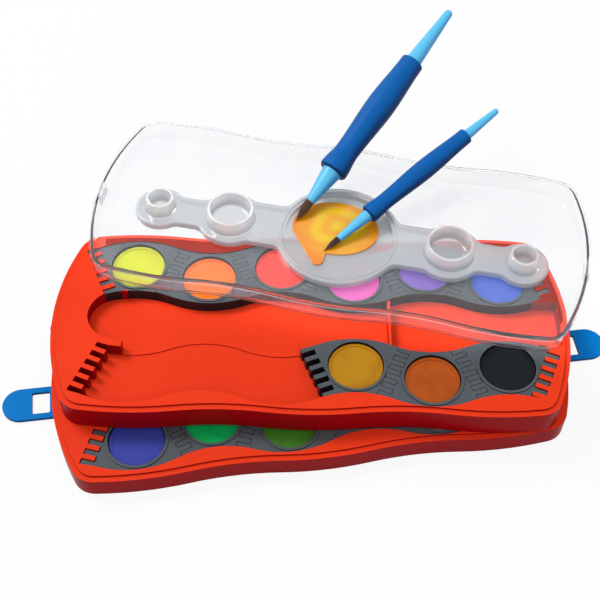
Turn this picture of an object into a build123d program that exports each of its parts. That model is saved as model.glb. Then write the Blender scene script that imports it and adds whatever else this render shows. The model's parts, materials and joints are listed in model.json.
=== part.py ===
# Watercolour paint set: two stacked trays of paint pans fanned out on a swivel pin, two end latches,
# a clear lid laid inside up on the upper tray as a palette, and two brushes standing in the mixed paint.
# Millimetres. X runs along the upper tray, Y to the back, Z up; the origin is the middle of the underside.
import os
from math import asin, atan, atan2, cos, hypot, pi, radians, sin, sqrt, tan

from build123d import *

os.makedirs("parts", exist_ok=True)

# Trays
half_length = 143.6
half_width = 59.3
end_bulge = 13.4
corner_radius = 13.0
wave_height = 1.4
wave_pitch = 48.75
lower_height = 14.0
upper_height = 17.0
ledge_width = 3.0
ledge_depth = 1.2
rim_round = 0.5
skirt_wall = 2.2
floor_wall = 1.8
rib_wall = 1.8
cell_size = 25.5

# Rows of pans
pan_pitch = 41.125
pans_in_row = 6
row_offset = 33.3
row_shift = 3.8
band_half = 17.7
band_swing = 4.14
pan_height = 7.7
pan_sink = 0.9
pan_gap = 0.3
comb_angle = 22.5
comb_pitch = 6.15
comb_reach = 3.6
comb_teeth = 4

# Paint tablets and the round wells that hold them
tablet_radius = 15.0
tablet_height = 5.6
tablet_gap = 0.3
tablet_rim = 1.7
tablet_dish = 0.5
tablet_edge = 0.4
well_floor = 1.2
lip_width = 1.5
lip_rise = 0.6

# Channel between the rows of the upper tray
channel_depth = 8.0
channel_half = 14.5
channel_bulb_radius = 16.5
channel_bulb_x = -107.7
channel_bulb_y = 2.5
channel_end_x = 138.3
channel_open_half = 24.0
comb_clear = 16.0
partition_x = 43.8
partition_wall = 1.6
partition_sink = 1.5

# Swivel
fan_angle = 8.3
pin_x = 113.8
pin_y = -6.0
pin_radius = 4.0
pin_foot = 9.0
pin_rise = 6.2
pin_edge = 0.6
seat_gap = 0.02
swivel_gap = 0.06
boss_wall = 2.4
pin_head_gap = 0.3

# Latches at the ends of the lower tray
latch_axis_in = 2.4
latch_axis_z = 7.1
latch_half = 10.2
latch_wall = 2.2
latch_offset = 4.5
latch_length = 30.8
latch_web = 2.6
latch_edge = 0.6
window_half = 6.8
window_start = 4.7
window_end = 14.4
window_corner = 1.0
barrel_radius = 2.6
hinge_pin_radius = 1.0
hinge_pin_grip = 3.0
hinge_side_gap = 0.4
hinge_bore_gap = 0.06
hinge_sweep_gap = 0.5
peg_half = 1.4
peg_reach = 2.4
peg_height = 2.2
peg_play = 0.8

# Clear lid, lying inside up on the upper tray
lid_x = 16.1
lid_y = 58.2
lid_turn = -10.7
lid_height = 15.7
lid_wall = 1.6
lid_floor = 1.8
lid_step = 0.9
lid_round = 6.0
rim_height = 1.4
band_rise = 3.8
band_wall = 1.6
small_cup_x = 107.0
medium_cup_x = 64.5
small_lobe = 15.0
medium_lobe = 19.5
large_lobe = 36.5
outer_neck = 10.5
inner_neck = 15.5
neck_fillet = 7.0
cup_top = 13.5
cup_draft = 1.5
small_cup_radius = 8.0
medium_cup_radius = 13.4
cup_wall = 1.5
cup_floor = 3.0
cup_round = 2.5
well_radius = 31.5
bead_radius = 0.7
bead_gap = 2.4
band_edge = 1.2
lug_half = 6.0
lug_height = 7.0
lug_z = 9.0
lug_rib = 1.4
lug_reach = 1.2

# Mixed paint
puddle_height = 0.9
puddle_edge = 0.4
puddle_x = -3.0
puddle_y = 7.0
puddle_long = 25.5
puddle_short = 20.0
smear_root_x = -15.0
smear_root_y = 2.0
smear_root_radius = 11.0
smear_tip_x = -9.3
smear_tip_y = -19.0
smear_tip_radius = 3.6

# Brushes: distances along a brush are measured from the tip of its bristles
rest_gap = 0.3
hair_root = 1.6
ferrule_lip = 0.4
ferrule_socket = 9.0
strand_fill = 0.52
strand_narrowing = 0.9

mouth_wall = 0.9
mouth_depth = 3.0
grip_edge = 2.0

fine_tip_x = -7.0
fine_tip_y = -12.7
fine_turn = 50.7
fine_hair = 12.0
fine_hair_radius = 1.6
fine_strands = 150
fine_ferrule = 35.0
fine_ferrule_radius = 3.7
fine_flare = 5.7
fine_waist = 5.0
fine_waist_at = 48.0
fine_belly = 6.1
fine_belly_at = 80.0
fine_mouth = 4.9
fine_grip = 114.0
fine_rod = 2.6
fine_tail = 3.4
fine_tail_end = 1.9
fine_length = 140.7

round_tip_x = -27.2
round_tip_y = 6.3
round_turn = 63.6
round_hair = 15.0
round_hair_radius = 2.3
round_strands = 220
round_ferrule = 38.0
round_ferrule_radius = 6.2
round_flare = 8.9
round_waist = 7.3
round_waist_at = 54.0
round_belly = 8.8
round_belly_at = 90.0
round_mouth = 7.2
round_grip = 124.0
round_rod = 4.0
round_tail = 5.2
round_tail_end = 2.6
round_length = 166.0

# Planes: the lower tray is turned by the fan angle, the upper tray lies square, the lid lies turned on top
fan = radians(fan_angle)
pin_at_x = pin_x * cos(fan) - pin_y * sin(fan)
pin_at_y = pin_x * sin(fan) + pin_y * cos(fan)
lower_plane = Plane((0, 0, 0), x_dir=(cos(fan), sin(fan), 0), z_dir=(0, 0, 1))
upper_plane = Plane((pin_at_x - pin_x, pin_at_y - pin_y, lower_height))
lid_yaw = radians(lid_turn)
lid_plane = Plane(
    (upper_plane.origin.X + lid_x, upper_plane.origin.Y + lid_y, lower_height + upper_height),
    x_dir=(cos(lid_yaw), sin(lid_yaw), 0),
    z_dir=(0, 0, 1),
)
pocket_depth = pan_height + pan_sink
latch_axis_x = half_length - latch_axis_in


def tray_outline(inset):
    """The wavy outline shared by both trays and the lid, drawn smaller by inset."""
    knots = [n * wave_pitch / 2 for n in (-5, -3, -1, 1, 3, 5)]
    end = half_length - end_bulge
    drop = (end - knots[-1]) * tan(2 * atan(2 * wave_height / wave_pitch))
    with BuildSketch() as outline:
        with BuildLine():
            for side in (-1, 1):
                Line((-end, side * (half_width - drop)), (knots[0], side * half_width))
                for n, (start, stop) in enumerate(zip(knots, knots[1:])):
                    swell = wave_height if n % 2 == 0 else -wave_height
                    middle = ((start + stop) / 2, side * (half_width + swell))
                    ThreePointArc((start, side * half_width), middle, (stop, side * half_width))
                Line((knots[-1], side * half_width), (end, side * (half_width - drop)))
                foot = (side * end, drop - half_width)
                head = (side * end, half_width - drop)
                ThreePointArc(foot, (side * half_length, 0), head)
        make_face()
        corners = outline.vertices().sort_by(lambda v: abs(v.X) + abs(v.Y))[-4:]
        fillet(corners, corner_radius)
        if inset:
            offset(amount=-inset)
    return outline.sketch


def swing(row, cell):
    """Which way a cell of a row swings off the row's middle line: 1 to the back, -1 to the front."""
    return row if cell % 2 else -row


def seam_x(seam):
    return row_shift + (seam - pans_in_row / 2) * pan_pitch


def comb(row, seam, side):
    """Points of a toothed seam, front to back; side -1 is the edge of the piece on its left, 1 on its right."""
    lean = swing(row, seam) * radians(comb_angle)
    gap = pan_gap / 2
    phase = 0 if side < 0 else 0.5
    half = comb_pitch / 4 - gap
    tip = -side * comb_reach + side * gap
    root = side * comb_reach + side * gap
    beyond = (comb_teeth + 1.5) * comb_pitch
    steps = [(-beyond, 0)]
    for n in range(-comb_teeth, comb_teeth + 1):
        at = (n + phase) * comb_pitch
        steps += [(at - half, root), (at - half, tip), (at + half, tip), (at + half, root)]
    steps.append((beyond, 0))
    points = []
    for t, reach in steps:
        x = seam_x(seam) + t * sin(lean) + reach * cos(lean)
        y = row * row_offset + t * cos(lean) - reach * sin(lean)
        points.append((x, y))
    return points


def row_piece(row, first, last, left_side, right_side, margin):
    """A stretch of a row's wavy band, cells first to last, between its two toothed seams."""
    with BuildSketch() as piece:
        with BuildLine():
            for edge in (-1, 1):
                y = row * row_offset + edge * (band_half + margin)
                for cell in range(first - 1, last + 2):
                    start, stop = seam_x(cell - 1), seam_x(cell)
                    middle = ((start + stop) / 2, y + swing(row, cell) * band_swing)
                    ThreePointArc((start, y), middle, (stop, y))
            low = row * row_offset - band_half - margin
            high = row * row_offset + band_half + margin
            Line((seam_x(first - 2), low), (seam_x(first - 2), high))
            Line((seam_x(last + 1), low), (seam_x(last + 1), high))
        make_face()
        with BuildLine():
            teeth = comb(row, first - 1, left_side) + comb(row, last, right_side)[::-1]
            Polyline(*teeth, close=True)
        make_face(mode=Mode.INTERSECT)
    return piece.faces().sort_by(SortBy.AREA)[-1]


def row_pocket(row):
    return row_piece(row, 1, pans_in_row, -1, 1, pan_gap / 2)


def tablet_spot(row, cell):
    x = (seam_x(cell - 1) + seam_x(cell)) / 2
    return (x, row * row_offset + swing(row, cell) * band_swing)


def underside_cells():
    """Cells between the stiffening ribs, inside the skirt."""
    step = cell_size + rib_wall
    with BuildSketch() as cells:
        with GridLocations(step, step, 10, 4):
            Rectangle(cell_size, cell_size)
        add(tray_outline(skirt_wall), mode=Mode.INTERSECT)
    return cells.sketch


def latch_notch(side):
    """Room in the end of the lower tray for a latch's barrel and web, and the bore for its pin."""
    inner = latch_axis_x - barrel_radius - hinge_sweep_gap
    top = latch_axis_z + barrel_radius + hinge_sweep_gap
    with BuildPart() as notch:
        with BuildSketch():
            with Locations((side * (inner + half_length + 5) / 2, 0)):
                Rectangle(half_length + 5 - inner, 2 * (latch_half + hinge_side_gap))
        extrude(amount=top)
        with BuildSketch(Plane.XZ):
            with Locations((side * latch_axis_x, latch_axis_z)):
                Circle(hinge_pin_radius + seat_gap)
        extrude(amount=latch_half + hinge_side_gap + hinge_pin_grip, both=True)
    return notch.part


# Lower tray
with BuildPart() as lower_tray:
    with BuildSketch(lower_plane):
        add(tray_outline(0))
    extrude(amount=lower_height)
    with BuildSketch(lower_plane.offset(lower_height)):
        add(tray_outline(0))
        add(tray_outline(ledge_width), mode=Mode.SUBTRACT)
    extrude(amount=-ledge_depth, mode=Mode.SUBTRACT)
    with BuildSketch(lower_plane):
        add(underside_cells())
    extrude(amount=lower_height - pocket_depth - floor_wall, mode=Mode.SUBTRACT)
    with BuildSketch(lower_plane.offset(lower_height)):
        add(row_pocket(-1))
        add(row_pocket(1))
    extrude(amount=-pocket_depth, mode=Mode.SUBTRACT)
    with BuildSketch(lower_plane.offset(lower_height)):
        with Locations((pin_x, pin_y)):
            Circle(pin_radius + seat_gap)
    extrude(amount=-pin_foot, mode=Mode.SUBTRACT)
    for side in (-1, 1):
        add(lower_plane.location * latch_notch(side), mode=Mode.SUBTRACT)
lower_tray.part.label = "lower_tray"
export_step(lower_tray.part, "parts/lower_tray.step")

# Upper tray
with BuildPart() as upper_tray:
    with BuildSketch(upper_plane):
        add(tray_outline(0))
    extrude(amount=upper_height)
    with BuildSketch(upper_plane.offset(upper_height)):
        add(tray_outline(0))
        add(tray_outline(ledge_width), mode=Mode.SUBTRACT)
    extrude(amount=-ledge_depth, mode=Mode.SUBTRACT)
    with BuildSketch(upper_plane):
        add(underside_cells())
    extrude(amount=upper_height - pocket_depth - floor_wall, mode=Mode.SUBTRACT)
    with BuildSketch(upper_plane):
        with Locations((pin_x, pin_y)):
            Circle(pin_radius + swivel_gap + boss_wall)
    extrude(amount=upper_height - pocket_depth - floor_wall)
    with BuildSketch(upper_plane):
        with Locations((pin_x, pin_y)):
            Circle(pin_radius + swivel_gap)
    extrude(amount=pin_rise + pin_head_gap, mode=Mode.SUBTRACT)
    with BuildSketch(upper_plane.offset(upper_height)):
        with Locations((channel_bulb_x, channel_bulb_y)):
            Circle(channel_bulb_radius)
        with Locations(((channel_bulb_x + channel_end_x) / 2, 0)):
            Rectangle(channel_end_x - channel_bulb_x, 2 * channel_half)
        with Locations(((seam_x(0) + seam_x(pans_in_row)) / 2, 0)):
            Rectangle(pans_in_row * pan_pitch - 2 * comb_clear, 2 * channel_open_half)
        with Locations((partition_x, 0)):
            Rectangle(partition_wall, 2 * channel_open_half, mode=Mode.SUBTRACT)
    extrude(amount=-channel_depth, mode=Mode.SUBTRACT)
    with BuildSketch(upper_plane.offset(upper_height)):
        with Locations((partition_x, 0)):
            Rectangle(partition_wall, 2 * channel_open_half)
    extrude(amount=-partition_sink, mode=Mode.SUBTRACT)
    with BuildSketch(upper_plane.offset(upper_height)):
        add(row_pocket(-1))
        add(row_pocket(1))
    extrude(amount=-pocket_depth, mode=Mode.SUBTRACT)
    peg_top = latch_axis_z + window_end - peg_play - lower_height
    with BuildSketch(upper_plane.offset(peg_top - peg_height)):
        for side in (-1, 1):
            with Locations((side * (half_length + (peg_reach - ledge_width) / 2), 0)):
                Rectangle(ledge_width + peg_reach, 2 * peg_half)
    extrude(amount=peg_height)
upper_tray.part.label = "upper_tray"
export_step(upper_tray.part, "parts/upper_tray.step")

# Swivel pin, standing in the lower tray and turning in the upper one
with BuildPart() as swivel_pin:
    with BuildSketch(lower_plane.offset(lower_height - pin_foot)):
        with Locations((pin_x, pin_y)):
            Circle(pin_radius)
    extrude(amount=pin_foot + pin_rise)
    chamfer(swivel_pin.edges().sort_by(Axis.Z)[-1], pin_edge)
swivel_pin.part.label = "swivel_pin"
export_step(swivel_pin.part, "parts/swivel_pin.step")


def latch(side):
    """A latch folded out flat: barrel and web in the tray's end, then a plate with a window and a round nose."""
    with BuildPart() as body:
        with BuildSketch(Plane.XZ):
            with Locations((side * latch_axis_x, latch_axis_z)):
                Circle(barrel_radius)
            with Locations((side * latch_axis_x, latch_axis_z - (latch_offset + latch_wall) / 2)):
                Rectangle(latch_web, latch_offset + latch_wall)
        extrude(amount=latch_half, both=True)
        with BuildSketch(Plane.XY.offset(latch_axis_z - latch_offset - latch_wall)):
            start = latch_axis_x - latch_web / 2
            round_x = latch_axis_x + latch_length - latch_half
            with Locations((side * (start + round_x) / 2, 0)):
                Rectangle(round_x - start, 2 * latch_half)
            with Locations((side * round_x, 0)):
                Circle(latch_half)
        extrude(amount=latch_wall)
        with BuildSketch(Plane.XY.offset(latch_axis_z - latch_offset - latch_wall)):
            with Locations((side * (latch_axis_x + (window_start + window_end) / 2), 0)):
                RectangleRounded(window_end - window_start, 2 * window_half, window_corner)
        extrude(amount=latch_wall, mode=Mode.SUBTRACT)
        with BuildSketch(Plane.XZ):
            with Locations((side * latch_axis_x, latch_axis_z)):
                Circle(hinge_pin_radius + hinge_bore_gap)
        extrude(amount=latch_half, both=True, mode=Mode.SUBTRACT)
    return body.part


def latch_pin(side):
    with BuildPart() as body:
        with BuildSketch(Plane.XZ):
            with Locations((side * latch_axis_x, latch_axis_z)):
                Circle(hinge_pin_radius)
        extrude(amount=latch_half + hinge_side_gap + hinge_pin_grip, both=True)
    return body.part


# Latches and their hinge pins
for side, end_name in ((-1, "left"), (1, "right")):
    with BuildPart() as latch_piece:
        add(lower_plane.location * latch(side))
    latch_piece.part.label = "latch_" + end_name
    export_step(latch_piece.part, "parts/latch_" + end_name + ".step")
    with BuildPart() as pin_piece:
        add(lower_plane.location * latch_pin(side))
    pin_piece.part.label = "latch_pin_" + end_name
    export_step(pin_piece.part, "parts/latch_pin_" + end_name + ".step")


def pan_and_paint(plane, height, row, cell, name):
    """One grey pan holder with toothed ends and its paint tablet."""
    bottom = height - pocket_depth
    spot = tablet_spot(row, cell)
    with BuildPart() as pan:
        with BuildSketch(plane.offset(bottom)):
            add(row_piece(row, cell, cell, 1, -1, -pan_gap / 2))
        extrude(amount=pan_height)
        with BuildSketch(plane.offset(bottom + pan_height)):
            with Locations(spot):
                Circle(tablet_radius + tablet_gap + lip_width)
        extrude(amount=lip_rise)
        with BuildSketch(plane.offset(bottom + well_floor)):
            with Locations(spot):
                Circle(tablet_radius + tablet_gap)
        extrude(amount=pan_height, mode=Mode.SUBTRACT)
    pan.part.label = name.replace("_", "_pan_", 1)
    export_step(pan.part, "parts/" + pan.part.label + ".step")
    with BuildPart() as paint:
        with BuildSketch(plane.offset(bottom + well_floor)):
            with Locations(spot):
                Circle(tablet_radius)
        extrude(amount=tablet_height)
        fillet(paint.edges().sort_by(Axis.Z)[-1], tablet_edge)
        with BuildSketch(plane.offset(bottom + well_floor + tablet_height)):
            with Locations(spot):
                Circle(tablet_radius - tablet_rim)
        extrude(amount=-tablet_dish, mode=Mode.SUBTRACT)
    paint.part.label = name.replace("_", "_paint_", 1)
    export_step(paint.part, "parts/" + paint.part.label + ".step")


# Pans of the upper tray; the first three places of its front row are empty
for cell, colour in enumerate(("lime", "orange", "red", "pink", "violet", "blue"), 1):
    pan_and_paint(upper_plane, upper_height, 1, cell, "upper_" + colour)
for cell, colour in enumerate(("ochre", "brown", "black"), 4):
    pan_and_paint(upper_plane, upper_height, -1, cell, "upper_" + colour)

# Pans of the lower tray
for cell, colour in enumerate(("yellow", "peach", "crimson", "magenta", "sky", "umber"), 1):
    pan_and_paint(lower_plane, lower_height, 1, cell, "lower_" + colour)
for cell, colour in enumerate(("ultramarine", "emerald", "olive", "turquoise", "white", "grey"), 1):
    pan_and_paint(lower_plane, lower_height, -1, cell, "lower_" + colour)


def plateau_outline():
    """The raised wavy band along the middle of the lid."""
    with BuildSketch() as band:
        Circle(large_lobe)
        Rectangle(2 * medium_cup_x, 2 * inner_neck)
        Rectangle(2 * small_cup_x, 2 * outer_neck)
        with Locations((-medium_cup_x, 0), (medium_cup_x, 0)):
            Circle(medium_lobe)
        with Locations((-small_cup_x, 0), (small_cup_x, 0)):
            Circle(small_lobe)
        necks = [v for v in band.vertices() if abs(abs(v.Y) - inner_neck) < 0.01]
        necks += [v for v in band.vertices() if abs(abs(v.Y) - outer_neck) < 0.01]
        fillet(necks, neck_fillet)
    return band.sketch


# Clear lid
band_top = lid_floor + band_rise
with BuildPart() as lid:
    with BuildSketch(lid_plane):
        add(tray_outline(lid_step))
    extrude(amount=lid_height)
    fillet(lid.edges().group_by(Axis.Z)[0], lid_round)
    with BuildSketch(lid_plane.offset(lid_height - rim_height)):
        add(tray_outline(0))
    extrude(amount=rim_height)
    with BuildPart(mode=Mode.SUBTRACT) as hollow:
        with BuildSketch(lid_plane.offset(lid_floor)):
            add(tray_outline(lid_step + lid_wall))
        extrude(amount=lid_height)
        fillet(hollow.edges().group_by(Axis.Z)[0], lid_round - lid_wall)
    with BuildPart() as plateau:
        with BuildSketch(lid_plane):
            add(plateau_outline())
        extrude(amount=band_top)
        fillet(plateau.edges().group_by(Axis.Z)[-1], band_edge)
    with BuildSketch(lid_plane):
        add(plateau_outline())
        offset(amount=-band_wall)
        Circle(well_radius + band_wall, mode=Mode.SUBTRACT)
    extrude(amount=band_top - band_wall, mode=Mode.SUBTRACT)
    with BuildSketch(lid_plane.offset(lid_floor)):
        Circle(well_radius)
    extrude(amount=lid_height, mode=Mode.SUBTRACT)
    for cup_x, cup_radius in ((medium_cup_x, medium_cup_radius), (small_cup_x, small_cup_radius)):
        with BuildSketch(lid_plane):
            with Locations((-cup_x, 0), (cup_x, 0)):
                Circle(cup_radius + cup_draft)
        extrude(amount=band_top)
        for side in (-1, 1):
            with BuildPart() as cup:
                with BuildSketch(lid_plane.offset(band_top)):
                    with Locations((side * cup_x, 0)):
                        Circle(cup_radius + cup_draft)
                with BuildSketch(lid_plane.offset(cup_top)):
                    with Locations((side * cup_x, 0)):
                        Circle(cup_radius)
                loft()
                fillet(cup.edges().sort_by(Axis.Z)[-1], cup_wall / 3)
            with BuildPart(mode=Mode.SUBTRACT) as cavity:
                with BuildSketch(lid_plane.offset(cup_floor)):
                    with Locations((side * cup_x, 0)):
                        Circle(cup_radius - cup_wall)
                extrude(amount=lid_height - cup_floor)
                fillet(cavity.edges().sort_by(Axis.Z)[0], cup_round)
    with Locations(lid_plane.offset(band_top)):
        Torus(well_radius + bead_gap, bead_radius)
    for side in (-1, 1):
        end_face = side * (half_length - lid_step - lid_wall / 2)
        lug_origin = lid_plane.from_local_coords((end_face, 0, lug_z))
        lug_plane = Plane(lug_origin, lid_plane.y_dir, lid_plane.x_dir * side)
        with BuildSketch(lug_plane):
            Rectangle(2 * lug_half, lug_height)
            with Locations((lug_rib, 0)):
                Rectangle(2 * lug_half, lug_height - 2 * lug_rib, mode=Mode.SUBTRACT)
        extrude(amount=lid_wall / 2 + lug_reach)
lid.part.label = "lid"
export_step(lid.part, "parts/lid.step")

# Mixed paint in the large well, with a smear drawn out to the front
with BuildPart() as mixed_paint:
    with BuildSketch(lid_plane.offset(lid_floor)):
        with Locations((puddle_x, puddle_y)):
            Ellipse(puddle_long, puddle_short)
        with BuildSketch():
            with Locations((smear_root_x, smear_root_y)):
                Circle(smear_root_radius)
            with Locations((smear_tip_x, smear_tip_y)):
                Circle(smear_tip_radius)
            make_hull()
    extrude(amount=puddle_height)
    fillet(mixed_paint.edges().group_by(Axis.Z)[-1], puddle_edge)
mixed_paint.part.label = "mixed_paint"
export_step(mixed_paint.part, "parts/mixed_paint.step")


def profile_radius(at, stations):
    """Radius of a grip at a distance from the bristle tip, easing from one station to the next."""
    for (start, first), (stop, last) in zip(stations, stations[1:]):
        if start <= at <= stop:
            t = (at - start) / (stop - start)
            return first + (last - first) * (3 * t * t - 2 * t * t * t)
    return stations[-1][1]


def brush_plane(tip_x, tip_y, turn, stations):
    """Plane at the bristle tip looking up the handle, tilted so that the grip just clears the lid's rim."""
    turn = radians(turn)
    tip_z = lid_floor + puddle_height + rest_gap
    climb = lid_height - tip_z
    rim_x = tip_x + (half_width - tip_y) / tan(turn)
    rim_y = half_width + wave_height * cos(pi * rim_x / wave_pitch) - lid_step - lid_wall
    across = rim_y - tip_y
    rise = 0
    for step in range(4):
        at = across / (sin(turn) * cos(rise))
        radius = profile_radius(at, stations) + rest_gap
        slope = atan2(climb, across) + asin(radius / hypot(across, climb))
        rise = atan(tan(slope) * sin(turn))
    heading = lid_yaw + turn
    return Plane(
        lid_plane.from_local_coords((tip_x, tip_y, tip_z)),
        x_dir=(-sin(heading), cos(heading), 0),
        z_dir=(cos(rise) * cos(heading), cos(rise) * sin(heading), sin(rise)),
    )


def section(plane):
    """The half plane in which a brush's round pieces are drawn: X is the radius, Y runs up the brush."""
    return Plane(plane.origin, x_dir=plane.x_dir, z_dir=plane.y_dir * -1)


def bristles(plane, hair, radius, count):
    """Separate tapering strands, rooted in a thin disc and drawn together to a point."""
    apex = hair / strand_narrowing
    side = strand_fill * radius * sqrt(pi / count)
    half = side / 2
    roots = []
    faces = []
    for n in range(count):
        spread = sqrt((n + 0.5) / count)
        bearing = n * pi * (3 - sqrt(5))
        x = (radius - side) * spread * cos(bearing)
        y = (radius - side) * spread * sin(bearing)
        length = hair * (1 - 0.22 * spread * spread * (0.7 + 0.3 * cos(5 * n)))
        shrink = 1 - length / apex
        square = [(x - half, y - half), (x + half, y - half), (x + half, y + half), (x - half, y + half)]
        low = [plane.from_local_coords((u, v, hair)) for u, v in square]
        high = [plane.from_local_coords((u * shrink, v * shrink, hair - length)) for u, v in square]
        roots.append(Wire.make_polygon(low))
        faces.append(Face(Wire.make_polygon(high)))
        for k in range(4):
            faces.append(Face(Wire.make_polygon([low[k - 1], low[k], high[k], high[k - 1]])))
    disc = Solid.make_cylinder(radius, hair_root, plane.offset(hair))
    front, *rest = disc.faces().sort_by(lambda face: plane.to_local_coords(face.center()).Z)
    faces.append(Face(front.outer_wire(), roots))
    faces += rest
    with BuildPart() as tuft:
        add(Solid(Shell(faces)))
    return tuft.part


def ferrule(plane, hair, hair_radius, end, end_radius, rod):
    with BuildPart() as cone:
        with BuildSketch(section(plane)):
            with BuildLine():
                Polyline(
                    (hair_radius + seat_gap, hair),
                    (hair_radius + ferrule_lip, hair),
                    (end_radius, end),
                    (rod + seat_gap, end),
                    (rod + seat_gap, end - ferrule_socket),
                    (0, end - ferrule_socket),
                    (0, hair + hair_root + seat_gap),
                    (hair_radius + seat_gap, hair + hair_root + seat_gap),
                    close=True,
                )
            make_face()
        revolve(axis=Axis(plane.origin, plane.z_dir))
    return cone.part


def grip(plane, stations, rod):
    """A soft sleeve: a rounded flare in front, a waist, a belly and an open mouth at the back."""
    front, flare = stations[0]
    back, mouth = stations[-1]
    with BuildPart() as sleeve:
        with BuildSketch(section(plane)):
            with BuildLine():
                Line((rod + seat_gap, front), (flare - grip_edge, front))
                knee = (flare - grip_edge * (1 - sin(pi / 4)), front + grip_edge * (1 - cos(pi / 4)))
                ThreePointArc((flare - grip_edge, front), knee, (flare, front + grip_edge))
                at, radius = front + grip_edge, flare
                for stop, last in stations[1:]:
                    third = (stop - at) / 3
                    Bezier((radius, at), (radius, at + third), (last, stop - third), (last, stop))
                    at, radius = stop, last
                Polyline(
                    (mouth, back),
                    (mouth - mouth_wall, back),
                    (mouth - mouth_wall, back - mouth_depth),
                    (rod + seat_gap, back - mouth_depth),
                    (rod + seat_gap, front),
                )
            make_face()
        revolve(axis=Axis(plane.origin, plane.z_dir))
    return sleeve.part


def handle(plane, start, shoulder, rod, tail, tail_end, length):
    """A rod through the grip, with a tapering tail behind it."""
    with BuildPart() as stick:
        with BuildSketch(section(plane)):
            with BuildLine():
                Polyline(
                    (0, length),
                    (0, start),
                    (rod, start),
                    (rod, shoulder),
                    (tail, shoulder),
                    (tail_end, length - tail_end),
                )
                turn = sin(pi / 4)
                ThreePointArc(
                    (tail_end, length - tail_end),
                    (tail_end * turn, length - tail_end * (1 - turn)),
                    (0, length),
                )
            make_face()
        revolve(axis=Axis(plane.origin, plane.z_dir))
    return stick.part


def make_brush(name, plane, hair, hair_radius, count, stations, ferrule_radius, rod, tail, tail_end, length):
    front = stations[0][0]
    back = stations[-1][0]
    pieces = {
        "bristles": bristles(plane, hair, hair_radius, count),
        "ferrule": ferrule(plane, hair, hair_radius, front, ferrule_radius, rod),
        "grip": grip(plane, stations, rod),
        "handle": handle(plane, front - ferrule_socket, back - mouth_depth, rod, tail, tail_end, length),
    }
    for kind, piece in pieces.items():
        piece.label = name + "_" + kind
        export_step(piece, "parts/" + name + "_" + kind + ".step")


# Thin brush
fine_stations = (
    (fine_ferrule, fine_flare),
    (fine_waist_at, fine_waist),
    (fine_belly_at, fine_belly),
    (fine_grip, fine_mouth),
)
fine_plane = brush_plane(fine_tip_x, fine_tip_y, fine_turn, fine_stations)
make_brush(
    "fine_brush", fine_plane, fine_hair, fine_hair_radius, fine_strands, fine_stations,
    fine_ferrule_radius, fine_rod, fine_tail, fine_tail_end, fine_length,
)

# Thick brush
round_stations = (
    (round_ferrule, round_flare),
    (round_waist_at, round_waist),
    (round_belly_at, round_belly),
    (round_grip, round_mouth),
)
round_plane = brush_plane(round_tip_x, round_tip_y, round_turn, round_stations)
make_brush(
    "round_brush", round_plane, round_hair, round_hair_radius, round_strands, round_stations,
    round_ferrule_radius, round_rod, round_tail, round_tail_end, round_length,
)
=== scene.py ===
import json
from math import cos, radians, sin

import bmesh
import bpy
from mathutils import Matrix, Vector

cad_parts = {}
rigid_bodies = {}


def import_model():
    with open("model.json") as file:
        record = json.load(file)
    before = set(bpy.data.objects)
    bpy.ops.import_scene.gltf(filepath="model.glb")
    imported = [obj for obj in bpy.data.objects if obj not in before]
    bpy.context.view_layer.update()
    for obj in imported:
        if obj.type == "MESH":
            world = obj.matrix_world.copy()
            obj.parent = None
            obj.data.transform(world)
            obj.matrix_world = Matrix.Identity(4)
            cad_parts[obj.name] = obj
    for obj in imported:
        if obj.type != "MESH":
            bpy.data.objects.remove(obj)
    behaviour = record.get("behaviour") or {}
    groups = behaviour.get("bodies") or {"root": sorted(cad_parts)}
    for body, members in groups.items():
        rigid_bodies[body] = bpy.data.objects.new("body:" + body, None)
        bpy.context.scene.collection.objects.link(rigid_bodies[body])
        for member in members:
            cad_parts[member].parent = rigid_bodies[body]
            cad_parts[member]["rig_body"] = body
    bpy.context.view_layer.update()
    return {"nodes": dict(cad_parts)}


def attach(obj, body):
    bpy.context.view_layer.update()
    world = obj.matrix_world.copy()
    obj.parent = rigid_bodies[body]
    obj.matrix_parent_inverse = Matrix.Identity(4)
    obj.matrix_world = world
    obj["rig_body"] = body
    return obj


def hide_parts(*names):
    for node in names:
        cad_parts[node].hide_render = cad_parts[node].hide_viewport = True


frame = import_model()

# Helpers for all the pieces: colours, shader nodes and their links, shader groups, new objects, and the
# baking of modifiers.


def rgb(red, green, blue):
    """A colour read as screen values from 0 to 255, as the linear values that a shader takes."""
    def linear(value):
        value /= 255
        return value / 12.92 if value <= 0.04045 else ((value + 0.055) / 1.055) ** 2.4
    return (linear(red), linear(green), linear(blue), 1)


def add_node(tree, kind, values=None, **settings):
    """A shader node with its settings, and the values of the inputs that nothing is linked to."""
    node = tree.nodes.new("ShaderNode" + kind)
    for name, value in settings.items():
        setattr(node, name, value)
    for label, value in (values or {}).items():
        node.inputs[label].default_value = value
    return node


def connect(tree, *pairs):
    for source, target in pairs:
        tree.links.new(source, target)


def make_group(name, inputs):
    """A shader group that puts out a colour, a roughness and a height, and its input and output nodes."""
    group = bpy.data.node_groups.new(name, "ShaderNodeTree")
    for label, kind, value in inputs:
        socket = group.interface.new_socket(name=label, in_out="INPUT", socket_type="NodeSocket" + kind)
        socket.default_value = value
    for label, kind in (("Colour", "Color"), ("Roughness", "Float"), ("Height", "Float")):
        group.interface.new_socket(name=label, in_out="OUTPUT", socket_type="NodeSocket" + kind)
    return group, group.nodes.new("NodeGroupInput"), group.nodes.new("NodeGroupOutput")


def new_object(name, data):
    made = bpy.data.objects.new(name, data)
    bpy.context.scene.collection.objects.link(made)
    return made


def bake(piece):
    """Puts the mesh that a piece's modifiers make in the piece's place, and takes the modifiers off."""
    bpy.context.view_layer.update()
    graph = bpy.context.evaluated_depsgraph_get()
    finished = bpy.data.meshes.new_from_object(piece.evaluated_get(graph))
    piece.modifiers.clear()
    piece.data = finished


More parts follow.
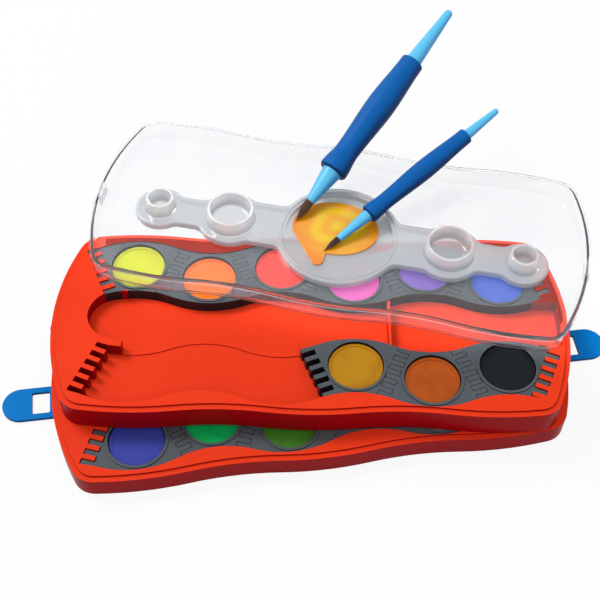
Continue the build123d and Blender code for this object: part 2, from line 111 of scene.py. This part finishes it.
# Moulded plastic, used by every plastic piece: upright walls are darkened towards a painted shade colour, as
# if in shadow, large faint flow marks shift the tone, and a fine grain breaks the gloss.
moulded, m_in, m_out = make_group(
    "moulded_plastic",
    [
        ("Colour", "Color", (0.5, 0.5, 0.5, 1)),
        ("Shaded Wall Colour", "Color", (0.3, 0.3, 0.3, 1)),
        ("Gloss", "Float", 0.25),
        ("Flow", "Float", 0.06),
        ("Grain Scale", "Float", 1400.0),
    ],
)
m_place = add_node(moulded, "TexCoord")
m_split = add_node(moulded, "SeparateXYZ")
# Painted shade: as a face turns upright, its colour goes over to the shaded wall colour, standing in for the
# shade that falls on walls.
m_level = add_node(moulded, "MapRange", {"From Min": 0.15, "From Max": 0.85}, interpolation_type="SMOOTHSTEP")
m_wall_shade = add_node(moulded, "Mix", data_type="RGBA")
m_flow = add_node(moulded, "TexNoise", {"Scale": 22, "Detail": 3})
m_shift = add_node(moulded, "MapRange", {"From Min": 0.3, "From Max": 0.7})
m_low = add_node(moulded, "Math", {0: 1.0}, operation="SUBTRACT")
m_high = add_node(moulded, "Math", {0: 1.0}, operation="ADD")
m_tint = add_node(moulded, "Mix", {"Factor": 1.0}, data_type="RGBA", blend_type="MULTIPLY")
m_grain = add_node(moulded, "TexNoise", {"Detail": 2})
m_rough = add_node(moulded, "Math", {1: 0.14}, operation="MULTIPLY_ADD")
connect(
    moulded,
    (m_place.outputs["Normal"], m_split.inputs[0]),
    (m_split.outputs["Z"], m_level.inputs["Value"]),
    (m_level.outputs["Result"], m_wall_shade.inputs["Factor"]),
    (m_in.outputs["Shaded Wall Colour"], m_wall_shade.inputs["A"]),
    (m_in.outputs["Colour"], m_wall_shade.inputs["B"]),
    (m_place.outputs["Object"], m_flow.inputs["Vector"]),
    (m_place.outputs["Object"], m_grain.inputs["Vector"]),
    (m_in.outputs["Grain Scale"], m_grain.inputs["Scale"]),
    (m_flow.outputs["Fac"], m_shift.inputs["Value"]),
    (m_in.outputs["Flow"], m_low.inputs[1]),
    (m_in.outputs["Flow"], m_high.inputs[1]),
    (m_low.outputs[0], m_shift.inputs["To Min"]),
    (m_high.outputs[0], m_shift.inputs["To Max"]),
    (m_wall_shade.outputs["Result"], m_tint.inputs["A"]),
    (m_shift.outputs["Result"], m_tint.inputs["B"]),
    (m_grain.outputs["Fac"], m_rough.inputs[0]),
    (m_in.outputs["Gloss"], m_rough.inputs[2]),
    (m_tint.outputs["Result"], m_out.inputs["Colour"]),
    (m_rough.outputs[0], m_out.inputs["Roughness"]),
    (m_grain.outputs["Fac"], m_out.inputs["Height"]),
)


def surface(name, group, values, bump=0.00002, **shader_values):
    """A material whose Principled shader takes its colour, roughness and bump from a group."""
    material = bpy.data.materials.new(name)
    material.use_nodes = True
    tree = material.node_tree
    shader = tree.nodes["Principled BSDF"]
    for label, value in shader_values.items():
        shader.inputs[label.replace("_", " ")].default_value = value
    detail = add_node(tree, "Group", values, node_tree=group)
    relief = add_node(tree, "Bump", {"Distance": bump})
    connect(
        tree,
        (detail.outputs["Colour"], shader.inputs["Base Color"]),
        (detail.outputs["Roughness"], shader.inputs["Roughness"]),
        (detail.outputs["Height"], relief.inputs["Height"]),
        (relief.outputs["Normal"], shader.inputs["Normal"]),
    )
    return material


same_place = 2e-6  # vertices closer than this, in metres, are one corner
flat_turn = radians(0.4)  # faces that meet at less are one face


def dressed(node, material, edge=0.0003, sharp=28, rejoin=True, keep=None, suffix="_skin"):
    """A copy of a CAD node with its flat faces rejoined and its sharp edges rounded as a moulding's are."""
    source = frame["nodes"][node]
    mesh = source.data.copy()
    mesh.name = node + suffix
    for label in ("custom_normal", "sharp_edge", "sharp_face"):
        if label in mesh.attributes:
            mesh.attributes.remove(mesh.attributes[label])
    mesh.materials.clear()
    mesh.materials.append(material)
    work = bmesh.new()
    work.from_mesh(mesh)
    bmesh.ops.remove_doubles(work, verts=work.verts, dist=same_place)
    if rejoin:
        bmesh.ops.dissolve_limit(work, angle_limit=flat_turn, verts=work.verts, edges=work.edges)
    if keep:
        left_out = [face for face in work.faces if not keep(face)]
        bmesh.ops.delete(work, geom=left_out, context="FACES")
    for face in work.faces:
        face.smooth = True
        face.material_index = 0
    work.to_mesh(mesh)
    work.free()
    piece = new_object(node + suffix, mesh)
    rounding = piece.modifiers.new("edges", "BEVEL")
    rounding.width = edge
    rounding.segments = 2
    rounding.limit_method = "ANGLE"
    rounding.angle_limit = radians(sharp)
    levelling = piece.modifiers.new("shading", "WEIGHTED_NORMAL")
    levelling.weight = 90
    bake(piece)
    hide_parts(node)
    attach(piece, source["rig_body"])
    return piece


# The two trays. Each is one red injection moulding with a wavy rim, a ledge that the tray or lid above
# sits on, and pockets whose toothed ends lock the pans in. Gloss plastic: the level faces are orange
# red, and the upright walls are darkened to a crimson painted shade, with faint flow marks and a fine moulded
# grain.
red_plastic = surface(
    "red_plastic", moulded,
    {"Colour": rgb(242, 62, 30), "Shaded Wall Colour": rgb(146, 5, 12), "Gloss": 0.26, "Flow": 0.05},
    bump=0.000006, Specular_IOR_Level=0.04,
)
for tray in ("lower_tray", "upper_tray"):
    dressed(tray, red_plastic, edge=0.00035)

# The swivel pin stands in the lower tray and turns in the upper one, a plain red moulding that is
# hidden while the trays are stacked.
dressed("swivel_pin", red_plastic)

# The latches are blue mouldings hinged in each end of the lower tray: a flat tongue with a window that
# snaps over a peg, and a round nose for the thumb. Their steel hinge pins are drawn wire.
# Painted shade: the upright faces of the latches darken to a deeper blue.
latch_blue = surface(
    "latch_blue", moulded,
    {"Colour": rgb(0, 122, 204), "Shaded Wall Colour": rgb(0, 72, 136), "Gloss": 0.3, "Flow": 0.05},
    bump=0.000008, Specular_IOR_Level=0.05,
)
for side in ("left", "right"):
    dressed("latch_" + side, latch_blue, edge=0.0004)

wire, w_in, w_out = make_group(
    "drawn_wire",
    [("Colour", "Color", (0.6, 0.6, 0.62, 1)), ("Gloss", "Float", 0.3)],
)
w_place = add_node(wire, "TexCoord")
w_lines = add_node(wire, "TexNoise", {"Scale": 900})
w_rough = add_node(wire, "Math", {1: 0.2}, operation="MULTIPLY_ADD")
connect(
    wire,
    (w_place.outputs["Object"], w_lines.inputs["Vector"]),
    (w_lines.outputs["Fac"], w_rough.inputs[0]),
    (w_in.outputs["Gloss"], w_rough.inputs[2]),
    (w_in.outputs["Colour"], w_out.inputs["Colour"]),
    (w_rough.outputs[0], w_out.inputs["Roughness"]),
    (w_lines.outputs["Fac"], w_out.inputs["Height"]),
)
pin_steel = surface("pin_steel", wire, {"Colour": rgb(200, 202, 205)}, Metallic=1.0)
for side in ("left", "right"):
    dressed("latch_pin_" + side, pin_steel, edge=0.00015)

# The pan holders are small grey mouldings with toothed ends that lock into their neighbours. Each has a
# raised lip round its well. Satin plastic, with a fine spark-eroded grain that gives a mottled sheen.
# Painted shade: the upright walls, the lip round each well among them, go near black, which draws dark rings
# round the tablets.
pan_grey = surface(
    "pan_grey", moulded,
    {"Colour": rgb(78, 85, 90), "Shaded Wall Colour": rgb(22, 26, 30), "Gloss": 0.4, "Flow": 0.2,
     "Grain Scale": 700.0},
    bump=0.00003, Specular_IOR_Level=0.25,
)

# The tablets are pressed watercolour, 30 mm across, with a thin rim round a shallow dish. The pigment is
# chalky and slightly uneven, darker where a wet brush has rubbed it.
pressed, p_in, p_out = make_group(
    "pressed_paint",
    [
        ("Colour", "Color", (0.5, 0.5, 0.5, 1)),
        ("Worn Colour", "Color", (0.4, 0.4, 0.4, 1)),
        ("Gloss", "Float", 0.4),
    ],
)
p_place = add_node(pressed, "TexCoord")
p_cloud = add_node(pressed, "TexNoise", {"Scale": 55, "Detail": 5, "Distortion": 0.8})
p_mask = add_node(
    pressed, "MapRange",
    {"From Min": 0.42, "From Max": 0.72, "To Max": 0.55},
    interpolation_type="SMOOTHSTEP",
)
p_mix = add_node(pressed, "Mix", data_type="RGBA")
p_grain = add_node(pressed, "TexNoise", {"Scale": 1600, "Detail": 3})
p_rough = add_node(pressed, "Math", {1: 0.25}, operation="MULTIPLY_ADD")
connect(
    pressed,
    (p_place.outputs["Object"], p_cloud.inputs["Vector"]),
    (p_place.outputs["Object"], p_grain.inputs["Vector"]),
    (p_cloud.outputs["Fac"], p_mask.inputs["Value"]),
    (p_mask.outputs["Result"], p_mix.inputs["Factor"]),
    (p_in.outputs["Colour"], p_mix.inputs["A"]),
    (p_in.outputs["Worn Colour"], p_mix.inputs["B"]),
    (p_grain.outputs["Fac"], p_rough.inputs[0]),
    (p_in.outputs["Gloss"], p_rough.inputs[2]),
    (p_mix.outputs["Result"], p_out.inputs["Colour"]),
    (p_rough.outputs[0], p_out.inputs["Roughness"]),
    (p_grain.outputs["Fac"], p_out.inputs["Height"]),
)

tablet_colours = {
    "upper_lime": ((196, 198, 12), (172, 174, 8)),
    "upper_orange": ((236, 110, 20), (214, 88, 12)),
    "upper_red": ((240, 62, 50), (214, 40, 36)),
    "upper_pink": ((222, 98, 178), (200, 70, 158)),
    "upper_violet": ((128, 98, 184), (106, 76, 164)),
    "upper_blue": ((74, 104, 196), (54, 84, 176)),
    "upper_ochre": ((192, 134, 20), (164, 108, 16)),
    "upper_brown": ((184, 84, 22), (150, 62, 14)),
    "upper_black": ((20, 24, 27), (12, 14, 17)),
    "lower_yellow": ((246, 214, 30), (228, 190, 14)),
    "lower_peach": ((244, 182, 140), (226, 156, 112)),
    "lower_crimson": ((184, 22, 44), (154, 12, 34)),
    "lower_magenta": ((196, 36, 122), (170, 22, 100)),
    "lower_sky": ((92, 178, 228), (66, 152, 208)),
    "lower_umber": ((96, 58, 34), (74, 42, 24)),
    "lower_ultramarine": ((60, 70, 166), (46, 54, 144)),
    "lower_emerald": ((4, 188, 94), (2, 160, 74)),
    "lower_olive": ((72, 134, 38), (56, 112, 26)),
    "lower_turquoise": ((14, 160, 160), (8, 134, 136)),
    "lower_white": ((240, 240, 234), (224, 224, 216)),
    "lower_grey": ((130, 132, 134), (108, 110, 112)),
}
for name, (fresh, worn) in tablet_colours.items():
    tray, colour = name.split("_")
    dressed(tray + "_pan_" + colour, pan_grey, edge=0.00022, rejoin=False)
    paint = surface(
        "paint_" + name, pressed,
        {"Colour": rgb(*fresh), "Worn Colour": rgb(*worn), "Gloss": 0.46}, bump=0.00005,
        Specular_IOR_Level=0.14,
    )
    dressed(tray + "_paint_" + colour, paint, edge=0.0002)

# The lid is one clear moulding lying inside up, so it serves as a palette: a thin wall with a beaded rim,
# and along its middle a raised wavy band with a large well and four cups. The floor and walls are clear
# with a slight haze, and the band, of thicker frosted plastic, is a translucent grey.
lid_origin = Vector((0.015774, 0.074691, 0.031))
lid_turn = Matrix.Rotation(radians(10.7), 3, "Z")
band_half_length, band_half_width, well_radius = 0.1235, 0.038, 0.0345
mark_start, mark_half_width, mark_foot, mark_top = 0.1375, 0.007, 0.005, 0.013
floor_under, floor_top_low, floor_top_high = 0.0001, 0.0017, 0.00195


def on_band(face):
    """Whether a face of the lid belongs to the raised band, its cups or the floor of its well."""
    spots = [lid_turn @ (vertex.co - lid_origin) for vertex in face.verts]
    height = sum(spot.z for spot in spots) / len(spots)
    inside = all(abs(spot.x) < band_half_length and abs(spot.y) < band_half_width for spot in spots)
    in_well = all(spot.xy.length < well_radius for spot in spots)
    on_end_mark = all(
        abs(spot.x) > mark_start and abs(spot.y) < mark_half_width and mark_foot < spot.z < mark_top
        for spot in spots
    )
    off_floor = height > floor_top_high or floor_under < height < floor_top_low
    return on_end_mark or inside and (in_well or off_floor)


# Painted highlight: above a set height, towards the tops of the cups and their rims, both lid materials
# lighten to a near white highlight colour.
hazed, z_in, z_out = make_group(
    "hazed_clear",
    [
        ("Colour", "Color", (0.9, 0.9, 0.9, 1)),
        ("Cloud Colour", "Color", (0.8, 0.8, 0.8, 1)),
        ("Painted Highlight Colour", "Color", (0.95, 0.95, 0.95, 1)),
        ("Rim Height", "Float", 0.0445),
        ("Low Gloss", "Float", 0.02),
        ("High Gloss", "Float", 0.08),
    ],
)
z_place = add_node(hazed, "TexCoord")
z_cloud = add_node(hazed, "TexNoise", {"Scale": 30, "Detail": 2})
z_mix = add_node(hazed, "Mix", data_type="RGBA")
z_split = add_node(hazed, "SeparateXYZ")
z_rise = add_node(hazed, "MapRange", {"From Min": 0.0364}, interpolation_type="SMOOTHSTEP")
z_highlight = add_node(hazed, "Mix", data_type="RGBA")
z_rough = add_node(hazed, "MapRange", {"From Min": 0.3, "From Max": 0.7})
connect(
    hazed,
    (z_place.outputs["Object"], z_cloud.inputs["Vector"]),
    (z_cloud.outputs["Fac"], z_mix.inputs["Factor"]),
    (z_in.outputs["Colour"], z_mix.inputs["A"]),
    (z_in.outputs["Cloud Colour"], z_mix.inputs["B"]),
    (z_cloud.outputs["Fac"], z_rough.inputs["Value"]),
    (z_in.outputs["Low Gloss"], z_rough.inputs["To Min"]),
    (z_in.outputs["High Gloss"], z_rough.inputs["To Max"]),
    (z_place.outputs["Object"], z_split.inputs[0]),
    (z_split.outputs["Z"], z_rise.inputs["Value"]),
    (z_in.outputs["Rim Height"], z_rise.inputs["From Max"]),
    (z_rise.outputs["Result"], z_highlight.inputs["Factor"]),
    (z_mix.outputs["Result"], z_highlight.inputs["A"]),
    (z_in.outputs["Painted Highlight Colour"], z_highlight.inputs["B"]),
    (z_highlight.outputs["Result"], z_out.inputs["Colour"]),
    (z_rough.outputs["Result"], z_out.inputs["Roughness"]),
    (z_cloud.outputs["Fac"], z_out.inputs["Height"]),
)
lid_clear = surface(
    "lid_clear", hazed,
    {"Colour": rgb(252, 253, 254), "Cloud Colour": rgb(244, 246, 249), "Painted Highlight Colour": rgb(250, 251, 253),
     "Low Gloss": 0.005, "High Gloss": 0.03},
    bump=0.000005, Transmission_Weight=0.975, IOR=1.32,
)
lid_frosted = surface(
    "lid_frosted", hazed,
    {"Colour": rgb(224, 226, 229), "Cloud Colour": rgb(200, 203, 207), "Painted Highlight Colour": rgb(255, 255, 255),
     "Rim Height": 0.0425, "Low Gloss": 0.05, "High Gloss": 0.12},
    bump=0.00001, Transmission_Weight=0.42, IOR=1.42, Coat_Weight=0.8, Coat_Roughness=0.03,
)
for material, edge, keep, suffix in (
    (lid_clear, 0.0002, lambda face: not on_band(face), "_clear"),
    (lid_frosted, 0.0003, on_band, "_band"),
):
    part = dressed("lid", material, edge=edge, sharp=40, keep=keep, suffix=suffix)
    part.visible_shadow = False

# Mixed paint: yellow and orange worked together with the brushes in the large well, thick enough to
# shine, with stirred rings, a deeper orange edge and a smear pulled out to the front.
wet = bpy.data.materials.new("wet_paint")
wet.use_nodes = True
wet_tree = wet.node_tree
wet_shader = wet_tree.nodes["Principled BSDF"]
wet_shader.inputs["Coat Weight"].default_value = 0.6
wet_shader.inputs["Coat Roughness"].default_value = 0.06
wet_place = add_node(wet_tree, "TexCoord")
wet_turn = add_node(wet_tree, "Mapping", {"Location": (0.0148, 0.0818, 0.033)}, vector_type="TEXTURE")
wet_rings = add_node(
    wet_tree, "TexWave",
    {"Scale": 26, "Distortion": 5.5, "Detail": 2, "Detail Scale": 1.2},
    wave_type="RINGS", rings_direction="Z", wave_profile="SIN",
)
wet_length = add_node(wet_tree, "VectorMath", operation="LENGTH")
wet_edge = add_node(
    wet_tree, "MapRange",
    {"From Min": 0.012, "From Max": 0.027},
    interpolation_type="SMOOTHSTEP",
)
wet_ramp = add_node(wet_tree, "Mix", {"A": rgb(255, 206, 8), "B": rgb(254, 176, 14)}, data_type="RGBA")
wet_rim = add_node(wet_tree, "Mix", {"B": rgb(250, 142, 26)}, data_type="RGBA")
wet_noise = add_node(wet_tree, "TexNoise", {"Scale": 240})
wet_rough = add_node(wet_tree, "MapRange", {"To Min": 0.14, "To Max": 0.34})
wet_bump = add_node(wet_tree, "Bump", {"Distance": 0.0003, "Strength": 0.6})
connect(
    wet_tree,
    (wet_place.outputs["Object"], wet_turn.inputs["Vector"]),
    (wet_turn.outputs["Vector"], wet_rings.inputs["Vector"]),
    (wet_turn.outputs["Vector"], wet_length.inputs[0]),
    (wet_length.outputs["Value"], wet_edge.inputs["Value"]),
    (wet_rings.outputs["Fac"], wet_ramp.inputs["Factor"]),
    (wet_ramp.outputs["Result"], wet_rim.inputs["A"]),
    (wet_edge.outputs["Result"], wet_rim.inputs["Factor"]),
    (wet_rim.outputs["Result"], wet_shader.inputs["Base Color"]),
    (wet_place.outputs["Object"], wet_noise.inputs["Vector"]),
    (wet_noise.outputs["Fac"], wet_rough.inputs["Value"]),
    (wet_rough.outputs["Result"], wet_shader.inputs["Roughness"]),
    (wet_rings.outputs["Fac"], wet_bump.inputs["Height"]),
    (wet_bump.outputs["Normal"], wet_shader.inputs["Normal"]),
)
dressed("mixed_paint", wet, edge=0.0001)

# The brushes: a light blue handle runs through a soft dark blue grip to a light blue collar, and brown
# synthetic hair is set in the collar and comes to a wet point.
# Painted shade: upright faces of the handle, collar and grip darken to a deeper blue.
light_blue = surface(
    "brush_light_blue", moulded,
    {"Colour": rgb(96, 204, 252), "Shaded Wall Colour": rgb(44, 146, 222), "Gloss": 0.22, "Flow": 0.05},
    bump=0.000008, Specular_IOR_Level=0.4,
)
grip_blue = surface(
    "grip_blue", moulded,
    {"Colour": rgb(0, 98, 178), "Shaded Wall Colour": rgb(0, 48, 104), "Gloss": 0.4, "Flow": 0.06,
     "Grain Scale": 900.0},
    bump=0.00002, Specular_IOR_Level=0.14,
)
hair, h_in, h_out = make_group(
    "brush_hair",
    [
        ("Colour", "Color", (0.1, 0.05, 0.03, 1)),
        ("Light Colour", "Color", (0.2, 0.1, 0.06, 1)),
        ("Gloss", "Float", 0.4),
    ],
)
h_place = add_node(hair, "TexCoord")
h_noise = add_node(hair, "TexNoise", {"Scale": 1800})
h_mix = add_node(hair, "Mix", data_type="RGBA")
h_rough = add_node(hair, "Math", {1: 0.2}, operation="MULTIPLY_ADD")
connect(
    hair,
    (h_place.outputs["Object"], h_noise.inputs["Vector"]),
    (h_noise.outputs["Fac"], h_mix.inputs["Factor"]),
    (h_in.outputs["Colour"], h_mix.inputs["A"]),
    (h_in.outputs["Light Colour"], h_mix.inputs["B"]),
    (h_noise.outputs["Fac"], h_rough.inputs[0]),
    (h_in.outputs["Gloss"], h_rough.inputs[2]),
    (h_mix.outputs["Result"], h_out.inputs["Colour"]),
    (h_rough.outputs[0], h_out.inputs["Roughness"]),
    (h_noise.outputs["Fac"], h_out.inputs["Height"]),
)
bristle_brown = surface(
    "bristle_brown", hair,
    {"Colour": rgb(58, 36, 22), "Light Colour": rgb(120, 78, 48), "Gloss": 0.3},
)


golden_angle = 2.39996  # radians, spreads the strands evenly over the disc


def make_tuft_tree():
    """Tapered strands set out on a disc at the root, that swell a little and close to a point."""
    tree = bpy.data.node_groups.new("tuft", "GeometryNodeTree")
    for label, kind, value in (
        ("Strands", "Int", 120),
        ("Length", "Float", 0.012),
        ("Root Radius", "Float", 0.0016),
        ("Strand Radius", "Float", 0.00011),
        ("Seed", "Int", 5),
        ("Material", "Material", None),
    ):
        socket = tree.interface.new_socket(name=label, in_out="INPUT", socket_type="NodeSocket" + kind)
        if value is not None:
            socket.default_value = value
    tree.interface.new_socket(name="Tuft", in_out="OUTPUT", socket_type="NodeSocketGeometry")
    given = tree.nodes.new("NodeGroupInput")

    def node(kind, values=None, **settings):
        made = tree.nodes.new(kind)
        for name, value in settings.items():
            setattr(made, name, value)
        for label, value in (values or {}).items():
            made.inputs[label].default_value = value
        return made

    def math(operation, first, second=0.0):
        made = node("ShaderNodeMath", operation=operation)
        for socket, value in zip(made.inputs, (first, second)):
            if hasattr(value, "is_output"):
                tree.links.new(value, socket)
            else:
                socket.default_value = value
        return made.outputs[0]

    # Where each strand starts on the disc.
    index = node("GeometryNodeInputIndex").outputs[0]
    jitter = node("FunctionNodeRandomValue", data_type="FLOAT")
    tree.links.new(given.outputs["Seed"], jitter.inputs["Seed"])
    spread = math("SQRT", math("DIVIDE", math("ADD", index, 0.5), given.outputs["Strands"]))
    angle = math("ADD", math("MULTIPLY", index, golden_angle), jitter.outputs[1])
    spot = node("ShaderNodeCombineXYZ")
    tree.links.new(math("MULTIPLY", spread, math("COSINE", angle)), spot.inputs[0])
    tree.links.new(math("MULTIPLY", spread, math("SINE", angle)), spot.inputs[1])
    points = node("GeometryNodePoints")
    tree.links.new(given.outputs["Strands"], points.inputs["Count"])
    tree.links.new(spot.outputs[0], points.inputs["Position"])
    line = node("GeometryNodeCurvePrimitiveLine", {"Start": (0, 0, 0), "End": (0, 0, 1)})
    parted = node("GeometryNodeResampleCurve", {"Count": 8})
    placed = node("GeometryNodeInstanceOnPoints")
    real = node("GeometryNodeRealizeInstances")
    tree.links.new(line.outputs[0], parted.inputs["Curve"])
    tree.links.new(points.outputs[0], placed.inputs["Points"])
    tree.links.new(parted.outputs[0], placed.inputs["Instance"])
    tree.links.new(placed.outputs[0], real.inputs[0])
    # How the strands swell, close and shorten towards the outside of the tuft.
    where = node("ShaderNodeSeparateXYZ")
    tree.links.new(node("GeometryNodeInputPosition").outputs[0], where.inputs[0])
    along = where.outputs["Z"]
    across, deep = (math("POWER", where.outputs[letter], 2.0) for letter in "XY")
    radius_share = math("SQRT", math("ADD", across, deep))
    taper = math("SUBTRACT", 1.0, math("POWER", along, 2.2))
    width = math("ADD", math("MULTIPLY", taper, math("ADD", 1.0, math("MULTIPLY", along, 0.45))), 0.03)
    shorter = math("MULTIPLY", math("POWER", radius_share, 2.0), 0.14)
    reach = math("MULTIPLY", along, math("SUBTRACT", 1.0, shorter))
    side = math("MULTIPLY", width, given.outputs["Root Radius"])
    moved = node("ShaderNodeCombineXYZ")
    tree.links.new(math("MULTIPLY", where.outputs["X"], side), moved.inputs[0])
    tree.links.new(math("MULTIPLY", where.outputs["Y"], side), moved.inputs[1])
    tree.links.new(math("MULTIPLY", reach, given.outputs["Length"]), moved.inputs[2])
    shaped = node("GeometryNodeSetPosition")
    tree.links.new(real.outputs[0], shaped.inputs["Geometry"])
    tree.links.new(moved.outputs[0], shaped.inputs["Position"])
    # A thin skin round each strand.
    factor = node("GeometryNodeSplineParameter").outputs["Factor"]
    ring = node("GeometryNodeCurvePrimitiveCircle", {"Resolution": 4, "Radius": 1.0})
    skin = node("GeometryNodeCurveToMesh", {"Fill Caps": True})
    tree.links.new(shaped.outputs[0], skin.inputs["Curve"])
    thinning = math("SUBTRACT", 1.0, math("MULTIPLY", factor, 0.7))
    tree.links.new(math("MULTIPLY", given.outputs["Strand Radius"], thinning), skin.inputs["Scale"])
    tree.links.new(ring.outputs["Curve"], skin.inputs["Profile Curve"])
    joined = node("GeometryNodeRealizeInstances")
    painted = node("GeometryNodeSetMaterial")
    tree.links.new(skin.outputs[0], joined.inputs[0])
    tree.links.new(joined.outputs[0], painted.inputs["Geometry"])
    tree.links.new(given.outputs["Material"], painted.inputs["Material"])
    tree.links.new(painted.outputs[0], tree.nodes.new("NodeGroupOutput").inputs[0])
    return tree


tuft_tree = make_tuft_tree()
sockets = {item.name: item.identifier for item in tuft_tree.interface.items_tree if item.in_out == "INPUT"}
strand_share = 0.085  # of the tuft's radius
round_turn, round_rise = radians(52.9), radians(20.7)
round_axis = (cos(round_turn) * cos(round_rise), sin(round_turn) * cos(round_rise), sin(round_rise))
for brush, tip, axis, length, radius, strands in (
    ("fine_brush", (0.006538, 0.063511, 0.034), (0.748661, 0.628201, 0.211827), 0.0135, 0.0017, 110),
    ("round_brush", (-0.009783, 0.085931, 0.034), round_axis, 0.0165, 0.0025, 170),
):
    dressed(brush + "_ferrule", light_blue, edge=0.00012)
    dressed(brush + "_grip", grip_blue, edge=0.0003)
    dressed(brush + "_handle", light_blue, edge=0.0002)
    tuft = new_object(brush + "_tuft", bpy.data.meshes.new(brush + "_tuft"))
    maker = tuft.modifiers.new("tuft", "NODES")
    maker.node_group = tuft_tree
    for label, value in (
        ("Strands", strands),
        ("Length", length),
        ("Root Radius", radius),
        ("Strand Radius", radius * strand_share),
        ("Seed", 5),
        ("Material", bristle_brown),
    ):
        maker[sockets[label]] = value
    bake(tuft)
    heading = Vector(axis).normalized()
    root = Vector(tip) + heading * length
    tuft.data.transform(Matrix.Translation(root) @ (-heading).to_track_quat("Z", "Y").to_matrix().to_4x4())
    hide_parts(brush + "_bristles")
    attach(tuft, brush)

# The floor is a wide pale sheet. It glows for the rays that the camera sees straight, in a gloss or
# through the lid, so it looks white, and it keeps a soft shadow.


def seen_rays(tree):
    """One for rays of the camera, of a gloss and through the lid, and zero for scattered light."""
    path = add_node(tree, "LightPath")
    either = add_node(tree, "Math", operation="MAXIMUM")
    all_three = add_node(tree, "Math", operation="MAXIMUM")
    connect(
        tree,
        (path.outputs["Is Camera Ray"], either.inputs[0]),
        (path.outputs["Is Glossy Ray"], either.inputs[1]),
        (either.outputs[0], all_three.inputs[0]),
        (path.outputs["Is Transmission Ray"], all_three.inputs[1]),
    )
    return all_three.outputs[0]


floor_reach = 6  # metres from the middle to each side
floor_mesh = bpy.data.meshes.new("floor")
floor_corners = [(x * floor_reach, y * floor_reach, 0) for x, y in ((-1, -1), (1, -1), (1, 1), (-1, 1))]
floor_mesh.from_pydata(floor_corners, [], [(0, 1, 2, 3)])
floor = new_object("floor", floor_mesh)
paper = bpy.data.materials.new("paper")
paper.use_nodes = True
paper_tree = paper.node_tree
paper_shader = paper_tree.nodes["Principled BSDF"]
paper_shader.inputs["Base Color"].default_value = (0.9, 0.9, 0.9, 1)
paper_shader.inputs["Roughness"].default_value = 0.9
paper_share = add_node(paper_tree, "Math", {1: 0.9}, operation="MULTIPLY")
paper_glow = add_node(paper_tree, "Emission")
paper_mix = add_node(paper_tree, "MixShader")
connect(
    paper_tree,
    (seen_rays(paper_tree), paper_share.inputs[0]),
    (paper_share.outputs[0], paper_mix.inputs[0]),
    (paper_shader.outputs[0], paper_mix.inputs[1]),
    (paper_glow.outputs[0], paper_mix.inputs[2]),
    (paper_mix.outputs[0], paper_tree.nodes["Material Output"].inputs["Surface"]),
)
floor_mesh.materials.append(paper)

# Studio light: a pale room, a soft lamp at the upper left and behind, and a weaker, wider one in front.
lamp_target = Vector((0, 0.03, 0.02))
world = bpy.data.worlds.new("studio")
bpy.context.scene.world = world
world.use_nodes = True
sky = world.node_tree
sky.nodes["Background"].inputs["Color"].default_value = (0.98, 0.99, 1.0, 1)
sky_level = add_node(sky, "MapRange", {"To Min": 0.56, "To Max": 1.0})
connect(
    sky,
    (seen_rays(sky), sky_level.inputs["Value"]),
    (sky_level.outputs["Result"], sky.nodes["Background"].inputs["Strength"]),
)
for name, place, size, power in (
    ("key", (-0.75, 0.45, 1.1), 0.45, 9.0),
    ("front", (0.35, -0.9, 0.9), 0.9, 2.0),
):
    lamp = bpy.data.lights.new(name, "AREA")
    lamp.size = size
    lamp.energy = power
    lamp_object = new_object(name, lamp)
    lamp_object.location = place
    lamp_object.rotation_euler = (lamp_target - Vector(place)).to_track_quat("-Z", "Y").to_euler()

# The camera stands where the photograph was taken from: in front, 53 degrees up, turned a touch.
view = bpy.data.cameras.new("camera")
view.sensor_width = 36
view.lens = 69.29
view.clip_start = 0.01
camera = new_object("camera", view)
camera_place = (-0.01163, -0.36276, 0.5483)
azimuth, elevation, roll = radians(-0.756), radians(52.758), radians(1.385)
back = Vector((sin(azimuth) * cos(elevation), -cos(azimuth) * cos(elevation), sin(elevation)))
right = Vector((cos(azimuth), sin(azimuth), 0))
up = back.cross(right)
turned_right = cos(roll) * right + sin(roll) * up
turned_up = cos(roll) * up - sin(roll) * right
turned = Matrix((turned_right, turned_up, back)).transposed().to_4x4()
camera.matrix_world = Matrix.Translation(camera_place) @ turned
bpy.context.scene.camera = camera
bpy.context.scene.view_settings.view_transform = "Standard"
